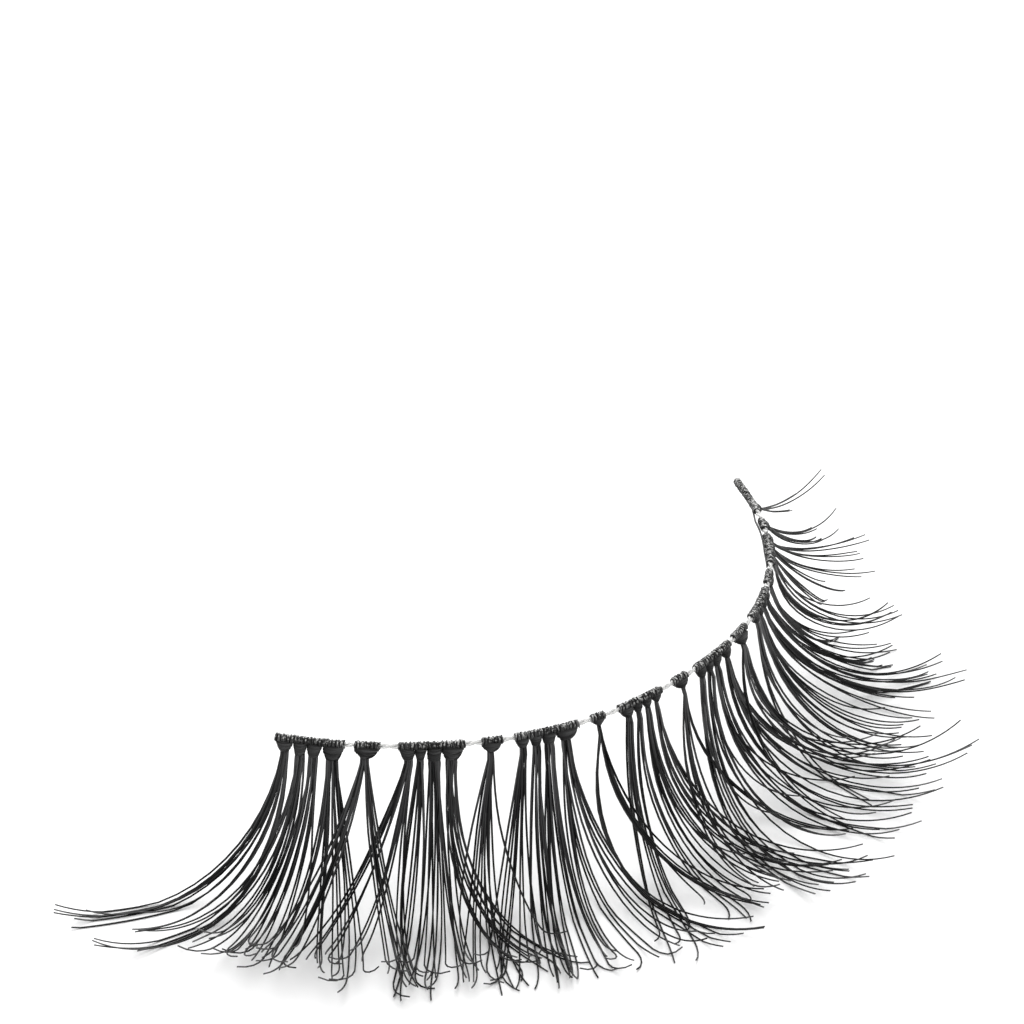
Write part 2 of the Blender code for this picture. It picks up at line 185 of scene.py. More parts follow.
# The locks that leave each knot. Leans are from square to the band, towards the short-haired end
LOCKS = {
    # knot, hairs, shift mm, root lean, tip lean, root dip, tip dip, length mm
    "cluster_1": (
        (0, 3, -0.01, -26, -72, 69, -22, 11.2),
        (0, 3, 0.07, -21, -68, 70, -17, 10.6),
        (0, 3, 0.10, -15, -39, 72, -26, 9.8),
        (0, 3, 0.12, 1, -61, 72, -30, 11.3),
        (1, 3, -0.09, -9, -48, 71, -27, 10.9),
        (1, 3, 0.03, -7, -24, 72, -25, 10.0),
        (1, 3, 0.10, 1, -25, 71, -22, 9.7),
        (2, 3, -0.04, -16, -5, 70, -30, 10.4),
        (2, 4, 0.05, -12, -7, 71, -21, 9.8),
        (2, 3, 0.13, -6, -5, 72, -21, 9.8),
        (2, 1, -0.04, 12, 5, 70, -34, 9.7),
        (3, 3, -0.09, -7, -10, 70, -26, 10.0),
        (3, 3, -0.02, -3, 13, 71, -29, 10.4),
        (3, 3, -0.04, 12, 9, 71, -28, 10.4),
        (3, 4, 0.06, 24, 2, 71, -25, 10.6),
    ),
    "single_1": (
        (0, 4, -0.12, -27, -11, 61, -23, 10.4),
        (0, 3, -0.01, -22, -10, 62, -25, 10.3),
        (0, 3, -0.09, 17, 10, 63, -16, 9.9),
        (0, 4, 0.03, 17, 11, 62, -20, 9.8),
    ),
    "cluster_2": (
        (0, 3, -0.22, -40, -18, 69, -25, 10.0),
        (0, 2, -0.15, -32, -14, 69, -31, 10.2),
        (0, 3, -0.04, -20, -15, 72, -21, 9.5),
        (0, 2, -0.01, -13, 9, 71, -17, 9.9),
        (1, 2, -0.12, -23, 12, 71, -20, 10.2),
        (1, 2, -0.01, -10, -9, 69, -18, 10.2),
        (1, 3, 0.08, -3, -10, 72, -17, 9.9),
        (2, 3, -0.11, -9, -5, 72, -22, 10.0),
        (2, 3, 0.01, -4, -14, 72, -17, 10.0),
        (2, 3, 0.04, 2, -8, 72, -23, 10.2),
        (2, 3, 0.12, 2, 4, 72, -19, 10.2),
        (3, 3, -0.13, -9, 33, 71, -13, 9.5),
        (3, 4, -0.05, -6, 40, 71, -11, 9.3),
        (3, 3, 0.02, 0, 49, 70, -15, 10.2),
        (3, 2, -0.16, -5, 1, 72, -17, 10.1),
    ),
    "single_2": (
        (0, 1, -0.25, -36, -4, 60, -20, 9.2),
        (0, 3, -0.21, -23, -11, 63, -15, 10.1),
        (0, 3, -0.11, -18, -6, 63, -13, 9.8),
        (0, 3, -0.05, -18, 2, 63, -7, 10.0),
        (0, 1, -0.07, 1, 5, 63, -28, 8.8),
    ),
    "cluster_3": (
        (0, 3, -0.21, -32, -20, 71, -18, 10.4),
        (0, 3, -0.13, -22, -22, 70, -19, 10.8),
        (0, 3, -0.02, -17, -12, 72, -24, 10.3),
        (1, 3, -0.14, -24, -13, 72, -19, 10.3),
        (1, 3, -0.06, -18, -12, 71, -19, 10.6),
        (1, 3, 0.02, -14, -13, 72, -25, 10.6),
        (2, 3, -0.05, -26, -11, 72, -27, 10.8),
        (2, 4, 0.00, -17, -10, 72, -20, 10.4),
        (2, 3, 0.08, -11, -8, 72, -24, 10.6),
        (3, 3, -0.13, -20, -6, 73, -28, 10.9),
        (3, 3, -0.04, -16, 10, 72, -21, 10.7),
        (3, 3, -0.00, -1, 8, 72, -36, 11.4),
        (3, 3, 0.05, 6, 23, 71, -22, 10.8),
    ),
    "single_3": (
        (0, 3, -0.20, -41, 53, 61, -15, 11.1),
        (0, 5, -0.08, -2, 33, 64, -11, 9.5),
        (0, 1, -0.18, 17, -5, 68, -16, 9.3),
    ),
    "cluster_4": (
        (0, 2, -0.25, -29, -26, 66, -14, 10.5),
        (0, 3, -0.12, -25, -18, 68, -19, 10.8),
        (1, 2, -0.22, -29, -22, 72, -15, 9.5),
        (1, 3, -0.12, -17, 0, 72, -15, 9.7),
        (2, 4, -0.13, -21, 5, 72, -18, 10.1),
        (2, 3, -0.12, -10, 7, 73, -24, 9.9),
        (3, 3, -0.17, -19, 36, 71, -21, 10.4),
        (3, 4, -0.09, -1, 32, 71, -26, 11.0),
    ),
    "single_4": (
        (0, 3, -0.21, -44, -15, 63, -20, 9.4),
        (0, 3, -0.15, -35, -14, 63, -23, 9.6),
        (0, 2, -0.25, 14, 19, 78, -16, 9.0),
    ),
    "cluster_5": (
        (0, 2, -0.12, -46, -5, 66, -25, 11.5),
        (0, 2, -0.12, -49, -8, 67, -24, 11.1),
        (0, 2, -0.06, -38, -4, 70, -38, 12.1),
        (1, 1, -0.12, -40, 14, 66, -26, 11.5),
        (1, 2, -0.12, -47, 2, 68, -23, 10.9),
        (1, 2, -0.04, -35, 1, 71, -23, 9.4),
        (2, 1, -0.14, -37, 25, 66, -19, 10.6),
        (2, 1, -0.14, -34, 35, 66, -20, 10.8),
        (2, 1, -0.14, -36, 37, 66, -20, 10.5),
        (2, 2, -0.09, -17, 7, 72, -17, 9.5),
        (2, 1, -0.09, -17, 3, 71, -20, 10.0),
        (3, 2, -0.25, -31, 27, 68, -20, 10.3),
        (3, 1, -0.25, -24, 37, 68, -24, 10.9),
        (3, 2, -0.25, 5, 12, 76, -30, 10.4),
        (3, 1, -0.25, 6, 14, 74, -34, 10.9),
        (3, 1, -0.25, 4, 15, 78, -25, 8.8),
        (3, 1, -0.18, 28, 3, 77, -31, 10.3),
        (3, 2, -0.18, 33, 14, 78, -29, 9.9),
    ),
    "single_5": (
        (0, 2, -0.25, -58, -10, 56, -4, 8.8),
        (0, 2, -0.24, -31, 44, 55, -31, 10.6),
        (0, 1, -0.24, -34, 50, 55, -33, 10.1),
        (0, 1, -0.24, -35, 43, 58, -27, 10.6),
        (0, 1, -0.24, -43, 35, 58, -27, 9.8),
        (0, 1, -0.24, -52, 28, 58, -35, 8.7),
    ),
    "cluster_6": (
        (0, 2, -0.25, -45, -27, 68, -8, 8.6),
        (0, 3, -0.10, -42, 1, 68, -20, 8.6),
        (1, 2, -0.10, -33, -19, 69, -31, 8.2),
        (1, 2, -0.10, -30, -8, 69, -27, 8.9),
        (1, 2, -0.05, -16, -17, 69, -29, 7.8),
        (1, 2, -0.05, -13, -9, 69, -27, 8.6),
        (2, 1, -0.09, 34, -22, 75, -22, 9.1),
        (2, 1, -0.09, 37, -20, 75, -21, 8.7),
        (2, 2, -0.09, 39, -31, 76, -23, 7.3),
        (2, 2, 0.08, 7, 30, 63, -16, 9.5),
        (2, 2, 0.08, 4, 43, 65, -3, 8.2),
        (3, 1, 0.04, 9, 32, 64, -15, 9.6),
        (3, 2, 0.04, 6, 37, 65, -7, 8.6),
        (3, 1, 0.04, 7, 43, 65, -6, 8.5),
        (3, 1, 0.04, 11, 50, 65, -12, 9.0),
        (3, 2, 0.14, 29, 38, 59, 18, 6.6),
        (3, 2, 0.14, 32, 49, 59, 21, 6.3),
    ),
    "single_6": (
        (0, 2, 0.03, 7, -41, 76, -31, 6.2),
        (0, 1, 0.12, 20, 34, 69, -1, 7.0),
        (0, 1, 0.12, 21, 39, 69, -1, 6.8),
        (0, 2, 0.12, 23, 70, 71, 16, 5.8),
    ),
    "cluster_7": (
        (0, 4, -0.12, -61, 23, 51, -32, 5.8),
        (1, 3, -0.09, -52, 17, 52, -23, 5.7),
        (1, 3, -0.04, -22, -88, 50, -42, 3.9),
        (2, 2, -0.02, -14, -56, 51, -28, 3.8),
        (2, 2, 0.05, 15, -16, 48, -16, 4.2),
        (3, 2, 0.05, 34, -3, 47, -12, 4.1),
        (3, 2, 0.14, 35, -3, 42, -27, 4.6),
    ),
    "single_7": (
        (0, 1, 0.01, 22, 50, 36, -14, 4.5),
        (0, 1, -0.07, -10, 50, 38, -6, 3.6),
        (0, 3, 0.01, 22, 46, 36, 8, 2.7),
        (0, 4, -0.07, -23, 48, 38, 6, 2.6),
    ),
    "cluster_8": (
        (0, 2, -0.18, 18, 26, 24, 12, 1.4),
        (0, 1, 0.03, 55, 50, 27, 12, 4.6),
        (0, 1, 0.02, 35, 43, 24, -12, 4.5),
        (0, 1, 0.06, 39, 40, 24, -18, 4.8),
    ),
}

# The loose hair on the inner side of the band, near the short-haired end, and its group
LOOSE_HAIR_GROUP = "cluster_7"
LOOSE_HAIR_POINTS = 25
LOOSE_HAIR_TONE = 0.2
LOOSE_HAIR = (
    # share of band, inward mm, up mm
    (0.945, 0.10, -0.12),
    (0.915, 0.24, -0.05),
    (0.880, 0.22, 0.00),
    (0.830, 0.23, 0.02),
    (0.795, 0.12, -0.05),
)

# Each piece of hair has three materials, in this order
FREE, KNOTTED, WOUND = range(3)

# Hairs that are thinner than these shares of a full hair take the fine and the faint finish
FINE_BELOW = 0.99
FAINT_BELOW = 0.93

FINISHES = {
    # roughness, gloss
    "satin_hair": (0.42, 0.10),
    "fine_hair": (0.42, 0.12),
    "faint_hair": (0.45, 0.14),
    "knotted_hair": (0.40, 0.14),
    "wound_hair": (0.35, 0.20),
    "clear_thread": (0.22, 0.25),
}

# The share of the light that the thread lets through
THREAD_CLEARNESS = 0.35

# How light a strand is by its run, and by its tone, times and plus. The run's part is painted light: on a
# hair it paints sheen on the ribbon at the root, shade along the middle where the hairs overlap, and pale
# thin tips as if the white floor showed through them. Its roughness grows with its tone by this much
PAINTED_LIGHT_BY_RUN = (
    # way along the strand, lightness
    (0.0, 0.65),
    (0.25, 0.32),
    (0.5, 0.07),
    (0.8, 0.25),
    (1.0, 1.0),
)
LIGHT_BY_TONE = (1.2, 0.1)
ROUGHNESS_BY_TONE = 0.12

# The glints are painted highlights: pale specks on the winding where it faces up towards the light
# Where the glints' noise is cut, and how far up a surface faces from none to all of them
GLINT_CUT = (0.50, 0.60)
GLINT_FACING = (0.1, 0.9)
GLINT_DETAIL = 2.0


def by_way(way, pairs):
    """The values at these ways along, on straight lines between the pairs of way and value."""
    return np.interp(way, *np.array(pairs).T)


class Band:
    """The thread's line by share of its length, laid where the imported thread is.

    The heading is the running sum of the bend, the place the running sum of the heading's
    direction, swung so that the chord lies on X.
    """

    def __init__(self):
        self.share = np.linspace(0.0, 1.0, CURVE_STEPS + 1)
        turn = by_way(self.share, BAND_BEND)
        step = 1.0 / CURVE_STEPS
        heading = np.concatenate([[0.0], np.cumsum((turn[1:] + turn[:-1]) / 2 * step)])
        run = np.stack([np.cos(heading), np.sin(heading)], axis=1)
        place = np.cumsum((run[1:] + run[:-1]) / 2 * step * BAND_LENGTH, axis=0)
        place = np.concatenate([np.zeros((1, 2)), place])
        swing = math.pi - math.atan2(place[-1, 1], place[-1, 0])
        self.heading = heading + swing
        cos, sin = math.cos(swing), math.sin(swing)
        x = place[:, 0] * cos - place[:, 1] * sin
        y = place[:, 0] * sin + place[:, 1] * cos
        z = by_way(self.share, BAND_HEIGHT) * BAND_RISE
        self.points = np.stack([x - x[-1] / 2, y, z], axis=1)
        self.points += np.array(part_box("band_thread")[0]) - self.corners().min(axis=0)
        reach = np.array([-PAST_ENDS, PAST_ENDS])
        past = self.share[[0, -1]] + reach
        ends = self.points[[0, -1]] + self.along(past) * (reach[:, None] * BAND_LENGTH)
        self.points = np.concatenate([ends[:1], self.points, ends[1:]])
        self.heading = self.heading[[0, *range(CURVE_STEPS + 1), -1]]
        self.share = np.concatenate([past[:1], self.share, past[1:]])

    def at(self, share):
        """The points at these shares of the band's length."""
        return np.stack([np.interp(share, self.share, self.points[:, i]) for i in range(3)], axis=-1)

    def along(self, share):
        """The level direction of the thread, towards the short-haired end."""
        heading = np.interp(share, self.share, self.heading)
        return np.stack([np.cos(heading), np.sin(heading), np.zeros_like(heading)], axis=-1)

    def outward(self, share):
        """The level direction square to the thread, on the side of the locks."""
        return np.cross(self.along(share), UP)

    def heading_to(self, share, dip, lean):
        """The direction at this dip below level and this lean along the band, both in degrees.

        The level part is the cosine of the lean outwards plus its sine along the band. The
        direction is the cosine of the dip times that, less the sine of the dip upwards.
        """
        dip, lean = np.radians(dip)[..., None], np.radians(lean)[..., None]
        level = np.cos(lean) * self.outward(share) + np.sin(lean) * self.along(share)
        return np.cos(dip) * level - np.sin(dip) * UP

    def corners(self):
        """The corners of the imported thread, a round cord of a few sides.

        A corner is the middle plus the radius times the cosine of the turn outwards and the sine
        of the turn upwards.
        """
        share = np.linspace(0.0, 1.0, THREAD_STEPS + 1)
        centres = self.at(share)
        centres[0] -= self.along(0.0) * THREAD_OVERHANG
        centres[-1] += self.along(1.0) * THREAD_OVERHANG
        turn = (np.arange(THREAD_SIDES) + 0.5) * 2 * math.pi / THREAD_SIDES
        side = self.outward(share)[:, None] * np.cos(turn)[:, None] + UP * np.sin(turn)[:, None]
        return (centres[:, None] + side * THREAD_RADIUS).reshape(-1, 3)


def unit(vectors):
    """Each vector divided by its own length."""
    return vectors / np.linalg.norm(vectors, axis=-1, keepdims=True)


class Shell:
    """Tubes gathered into one mesh, with the tone of each and each point's share of its length."""

    def __init__(self):
        self.points, self.tones, self.runs = [], [], []
        self.corners, self.counts, self.looks = [], [], []
        self.total = 0

    def tubes(self, lines, wide, thick, reference, sides, tone, closed=False, look=FREE):
        """Add tubes round many lines of equally many points.

        A corner is the line's point plus the half-width times the cosine of the turn along the
        side direction, plus the half-thickness times the sine of the turn along the up direction.
        The side is the direction of travel crossed with the reference, the up is square to both.
        Corners lie a little outside, so that a tube of few sides is as wide on average as a round one.
        """
        tubes, steps = lines.shape[:2]
        ahead = np.roll(lines, -1, 1) - np.roll(lines, 1, 1) if closed else np.gradient(lines, axis=1)
        ahead = unit(ahead)
        side = unit(np.cross(ahead, reference))
        up = np.cross(side, ahead)
        turn = (np.arange(sides) + 0.5)[:, None] * 2 * math.pi / sides
        swell = math.pi / sides / math.sin(math.pi / sides)
        wide, thick = wide * swell, thick * swell
        wide = np.broadcast_to(wide, (tubes, steps))[..., None, None]
        thick = np.broadcast_to(thick, (tubes, steps))[..., None, None]
        ring = side[:, :, None] * np.cos(turn) * wide + up[:, :, None] * np.sin(turn) * thick
        points = lines[:, :, None] + ring
        here = np.arange(tubes * steps * sides).reshape(tubes, steps, sides) + self.total
        beside, further = np.roll(here, -1, 2), np.roll(here, -1, 1)
        quads = np.stack([here, further, np.roll(further, -1, 2), beside], axis=-1)
        if not closed:
            quads = quads[:, :-1]
            self.add_faces(here[:, 0], look)
            self.add_faces(here[:, -1, ::-1], look)
        self.add_faces(quads.reshape(-1, 4), look)
        self.points.append(points.reshape(-1, 3))
        self.tones.append(np.repeat(np.broadcast_to(tone, tubes), steps * sides))
        self.runs.append(np.tile(np.repeat(np.linspace(0.0, 1.0, steps), sides), tubes))
        self.total += tubes * steps * sides

    def add_faces(self, faces, look):
        """Add faces of equally many corners, one row each, in one of the shell's materials."""
        self.corners.append(faces.ravel())
        self.counts.append(np.full(len(faces), faces.shape[1]))
        self.looks.append(np.full(len(faces), look))

    def finish(self, name, materials):
        """The object with all the tubes, shaded smooth."""
        mesh = bpy.data.meshes.new(name)
        points, corners = np.concatenate(self.points), np.concatenate(self.corners)
        counts = np.concatenate(self.counts)
        for material in materials:
            mesh.materials.append(material)
        mesh.vertices.add(len(points))
        mesh.vertices.foreach_set("co", points.astype(np.float32).ravel())
        mesh.loops.add(len(corners))
        mesh.loops.foreach_set("vertex_index", corners.astype(np.int32))
        mesh.polygons.add(len(counts))
        mesh.polygons.foreach_set("loop_start", (np.cumsum(counts) - counts).astype(np.int32))
        mesh.polygons.foreach_set("material_index", np.concatenate(self.looks).astype(np.int32))
        mesh.polygons.foreach_set("use_smooth", np.ones(len(counts), dtype=bool))
        for label, values in (("tone", self.tones), ("run", self.runs)):
            layer = mesh.attributes.new(label, "FLOAT", "POINT")
            layer.data.foreach_set("value", np.concatenate(values).astype(np.float32))
        mesh.update(calc_edges=True)
        mesh.validate()
        piece = bpy.data.objects.new(name, mesh)
        bpy.context.scene.collection.objects.link(piece)
        return piece


def knot_frames(band, node, share):
    """For each knot of a group: its point on the band, its direction down, along and to the front.

    Down is at the group's dip and half the mean root lean of the knot's locks. The front is square
    to it and to the band, and along is square to both.
    """
    rows = np.array(LOCKS[node], dtype=float)
    lean = np.array([rows[rows[:, 0] == knot][:, 3].mean() for knot in range(len(share))])
    down = band.heading_to(share, np.full(len(share), float(GROUPS[node].dip)), lean * 0.5)
    front = unit(np.cross(down, band.along(share)))
    side = np.cross(front, down)
    return band.at(share), down, side, front


def hair_rows(node, rng):
    """A row of the locks' columns for each hair, and its place across its lock.

    Besides the hairs of the locks there are some between them. The values of such a hair are
    those of one lock plus a random share of the step to the next lock, and it is shorter.
    """
    locks = np.array(LOCKS[node], dtype=float)
    count = locks[:, 1].astype(int)
    rows = np.repeat(locks, count, axis=0)
    first = np.repeat(np.cumsum(count) - count, count)
    place = np.arange(len(rows)) - first - (np.repeat(count, count) - 1) / 2
    chosen = np.flatnonzero(rng.random(len(locks) - 1) < GROUPS[node].between)
    here, step = locks[chosen], locks[chosen + 1] - locks[chosen]
    between = here + step * rng.random((len(here), 1))
    between[:, 0] = np.where(rng.random(len(here)) < 0.5, here[:, 0], (here + step)[:, 0])
    between[:, 7] *= rng.uniform(*BETWEEN_LENGTH, len(here))
    return np.concatenate([rows, between]), np.concatenate([place, np.zeros(len(between))])


def ribbon_places(knot, lean, rng):
    """Where each hair lies across its knot's neck, from minus one to one.

    The hairs are evenly spaced, in the order of their leans plus a little chance.
    """
    places = np.zeros(len(knot))
    for number in np.unique(knot):
        here = np.flatnonzero(knot == number)
        order = np.argsort(lean[here] + rng.normal(size=len(here)) * LEAN_CHANCE)
        places[here[order]] = (np.arange(len(here)) + 0.5) * 2 / len(here) - 1
    return places


def add_hairs(shell, band, node, style, rng):
    """The hairs of one group.

    Along a hair the dip and the lean change evenly from root to tip. Its own fan grows with the
    way along to the power of one and a half, its hook over the last part only, and its sway is a
    sine of the way along. Fan and hook are less for a tip that lies along the band, by the squared
    cosine of its lean. The hair is the running sum of these directions. At the neck all hairs of
    a knot lie side by side as a flat ribbon, and what sets a hair off from its own line there
    fades out along its first part.
    """
    group = GROUPS[node]
    rows, place = hair_rows(node, rng)
    knot, hairs = rows[:, 0].astype(int), len(rows)
    share, half = np.array(KNOTS[node])[:, 0], np.array(KNOTS[node])[:, 2] * MM
    points, down, side, front = (values[knot] for values in knot_frames(band, node, share))
    neck = points + down * (NECK_START + group.drop * MM)
    diameter = style.hair_diameter * group.fine

    steps = style.hair_steps
    run = by_way(np.linspace(0, 1, steps + 1), STEP_WAY)
    way, part = (run[1:] + run[:-1]) / 2, np.diff(run)
    chance = np.clip(rng.normal(size=(5, hairs)), -CHANCE_LIMIT, CHANCE_LIMIT)
    squarely = np.cos(np.radians(rows[:, 4])) ** 2
    loose = group.fan * (0.6 + 0.4 * squarely)
    spread = (place + chance[0] * FAN_CHANCE) * loose
    hooked = (rng.random(hairs) < style.hooked) * np.where(chance[2] > 0, 1.0, -1.0)
    hook = (chance[1] * HOOK_CHANCE + hooked) * style.hook * group.curl * squarely
    hook_run = np.clip((way - HOOK_START) / (1 - HOOK_START), 0, 1) ** 1.3
    sway = np.sin(2 * math.pi * (way * SWAY_WAVES + rng.random(hairs)[:, None])) * style.sway
    lean = rows[:, 3:4] + (rows[:, 4:5] - rows[:, 3:4]) * way + spread[:, None] * way**1.5
    lean = lean + hook[:, None] * hook_run + sway
    dips = rows[:, 5:6] + (rows[:, 6:7] - rows[:, 5:6]) * way
    dips = dips + (chance[3] * loose)[:, None] * way**2
    length = rows[:, 7] * MM * (1 + chance[4] * style.uneven)
    ahead = band.heading_to(share[knot][:, None], dips, lean)
    line = np.cumsum(ahead * (length[:, None] * part)[..., None], axis=1)
    line = np.concatenate([np.zeros((hairs, 1, 3)), line], axis=1)

    offset = (place + chance[0] * PLACE_CHANCE) * diameter
    own = rows[:, 2:3] * MM + offset[:, None] * by_way(run, LOCK_WIDTH)
    ribbon = ribbon_places(knot, rows[:, 3], rng)[:, None] * (half[knot][:, None] - diameter / 2)
    fade = np.clip(1 - run / RIBBON_END, 0, 1) ** 1.5
    level = np.concatenate([ahead[:, :1], ahead], axis=1)
    across = unit(np.cross(UP, level))
    layer = (chance[2] * LAYER_CHANCE)[:, None] * diameter * np.interp(run, (0, RIBBON_END), (1.0, 0.6))
    line = line + neck[:, None] + across * (own * (1 - fade) + ribbon * fade)[..., None]
    line = line + front[:, None] * layer[..., None]
    root = points + down * NECK_START + side * ribbon * ROOT_WIDTH
    line = np.concatenate([root[:, None], line], axis=1)

    radius = diameter / 2 * by_way(np.concatenate([[0], run]), TAPER)
    line[..., 2] = np.maximum(line[..., 2], radius)
    shell.tubes(line, radius, radius, UP, style.hair_sides, rng.random(hairs))


def cup_half_depth(depth, wound):
    """Half a bowl from back to front: the winding's radius down to its middle, then evenly to the neck's."""
    return np.interp(depth, (0, 0.5, 1), (wound, wound, NECK_HALF_DEPTH))


def add_cups(shell, band, node, style, rng):
    """The bowls of the knots, each of nested loops round a dark core.

    A loop's point is its centre, plus its half-width times the cosine of the turn along the band,
    plus its half-depth times the sine of the turn to the front, plus its drop less its rise times
    the squared cosine of the turn. The half-width shrinks with the cube of the way down.
    """
    group = GROUPS[node]
    necks, cups, neck_halves = np.array(KNOTS[node]).T
    edges = np.concatenate([[group.start], (necks[1:] + necks[:-1]) / 2, [group.tied]])
    rims, halves = (edges[1:] + edges[:-1]) / 2, np.diff(edges) / 2 * BAND_LENGTH
    count, strand, wound = len(necks), style.strand_diameter / 2, group.wound * MM
    reach, neck_halves = (NECK_START + cups * MM)[:, None], neck_halves * MM
    down, side, front = knot_frames(band, node, necks)[1:]

    turn = np.linspace(0, 2 * math.pi, style.loop_steps, endpoint=False)
    for depth in (np.arange(style.loops) + 1) / style.loops:
        centre = band.at(rims + (necks - rims) * depth)
        half = halves * (1 - depth**3) + neck_halves * depth**3 - strand
        deep = cup_half_depth(depth, wound) - strand
        low = by_way(depth, LOOP_LOW) * reach
        rise = by_way(depth, LOOP_RISE) * reach
        tilt = rng.normal(size=count)[:, None] * LOOP_TILT
        level = low - rise * np.cos(turn) ** 2 + np.cos(turn) * tilt * halves[:, None]
        ring = side[:, None] * (half[:, None] * np.cos(turn))[..., None]
        ring = ring + front[:, None] * (np.sin(turn) * deep)[:, None]
        ring = ring + down[:, None] * level[..., None] + centre[:, None]
        tone = rng.random(count)
        shell.tubes(ring, strand, strand, down[:, None], STRAND_SIDES, tone, closed=True, look=KNOTTED)

    depth = CORE_DEPTHS
    share = rims[:, None] + (necks - rims)[:, None] * depth
    line = band.at(share) + down[:, None] * (depth * reach)[..., None]
    wide = halves[:, None] * (1 - depth**3) + neck_halves[:, None] * depth**3 - strand
    thick = cup_half_depth(depth, wound) - strand
    shell.tubes(line, wide, thick, front[:, None], CORE_SIDES, 0.0, look=KNOTTED)


def add_winding(shell, band, node, style, rng):
    """The hair wound on the thread under one group, as helices of both hands round a dark core.

    A helix's point is the band's, plus its radius times the cosine of its turn outwards and the
    sine of its turn upwards. The turn and the radius waver a little.
    """
    group = GROUPS[node]
    strand, wound = style.strand_diameter / 2, group.wound * MM
    span = (group.end - group.start) * BAND_LENGTH
    for hand, pitch in WINDINGS:
        turns = span / pitch
        steps = int(turns * WINDING_STEPS) + 1
        share = np.linspace(group.start, group.end, steps)
        angle = hand * np.linspace(0, 2 * math.pi * turns, steps) + rng.normal(size=steps) * TURN_WAVER
        radial = band.outward(share) * np.cos(angle)[:, None] + UP * np.sin(angle)[:, None]
        radius = wound - strand + rng.normal(size=steps) * strand * RADIUS_WAVER
        line = band.at(share) + radial * radius[:, None]
        shell.tubes(line[None], strand, strand, radial[None], STRAND_SIDES, rng.random(1), look=WOUND)
    line = band.at(np.linspace(group.start, group.end, CORE_STEPS * len(KNOTS[node]) + 1))[None]
    core = wound - style.strand_diameter
    shell.tubes(line, core, core, UP, CORE_SIDES, 0.0, look=KNOTTED)


def add_loose_hair(shell, band, style):
    """The loose hair on the inner side of the band, from the last group back to the sixth single.

    Its point is the band's, less its offset outwards, plus its height.
    """
    share, inward, height = np.array(LOOSE_HAIR).T
    fine = np.linspace(share[0], share[-1], LOOSE_HAIR_POINTS)
    inward, height = (np.interp(fine, share[::-1], values[::-1]) for values in (inward, height))
    line = band.at(fine) - band.outward(fine) * (inward * MM)[:, None] + UP * (height * MM)[:, None]
    radius = style.hair_diameter / 2
    shell.tubes(line[None], radius, radius, UP, style.hair_sides, LOOSE_HAIR_TONE)


def hair_finish(fine):
    """The finish of a group's hairs, fainter the thinner they are."""
    if fine < FAINT_BELOW:
        return "faint_hair"
    return "fine_hair" if fine < FINE_BELOW else "satin_hair"


def hair_piece(band, node, style, materials):
    """One group's hairs and knots as one piece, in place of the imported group."""
    rng = np.random.default_rng(style.seed + sorted(GROUPS).index(node))
    shell = Shell()
    add_hairs(shell, band, node, style, rng)
    add_cups(shell, band, node, style, rng)
    add_winding(shell, band, node, style, rng)
    if node == LOOSE_HAIR_GROUP:
        add_loose_hair(shell, band, style)
    piece = shell.finish(f"{node}_hair", materials)
    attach(piece, "root")
    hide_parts(node)
    return piece


def thread_piece(band, style, material):
    """Two plies twisted round each other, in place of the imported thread.

    A ply's point is the band's, plus its distance from the middle times the cosine of the twist
    outwards and the sine of the twist upwards.
    """
    ply = THREAD_RADIUS * 0.5
    steps = int(BAND_LENGTH / style.twist * TWIST_STEPS)
    share = np.linspace(0.0, 1.0, steps + 1)
    angle = np.linspace(0, 2 * math.pi * BAND_LENGTH / style.twist, steps + 1)
    angle = angle + np.array([[0.0], [math.pi]])
    centres = band.at(share)
    centres[0] -= band.along(0.0) * THREAD_OVERHANG
    centres[-1] += band.along(1.0) * THREAD_OVERHANG
    radial = band.outward(share) * np.cos(angle)[..., None] + UP * np.sin(angle)[..., None]
    shell = Shell()
    shell.tubes(centres + radial * ply, ply, ply, radial, PLY_SIDES, PLY_TONES)
    piece = shell.finish("thread_plies", [material])
    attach(piece, "root")
    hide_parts("band_thread")
    return piece


def new_group(name, inputs, outputs):
    """An empty shader node group with these sockets."""
    group = bpy.data.node_groups.new(name, "ShaderNodeTree")
    for socket, kind, default in inputs:
        made = group.interface.new_socket(socket, in_out="INPUT", socket_type=kind)
        made.default_value = default
    for socket, kind in outputs:
        group.interface.new_socket(socket, in_out="OUTPUT", socket_type=kind)
    return group, group.nodes.new("NodeGroupInput"), group.nodes.new("NodeGroupOutput")


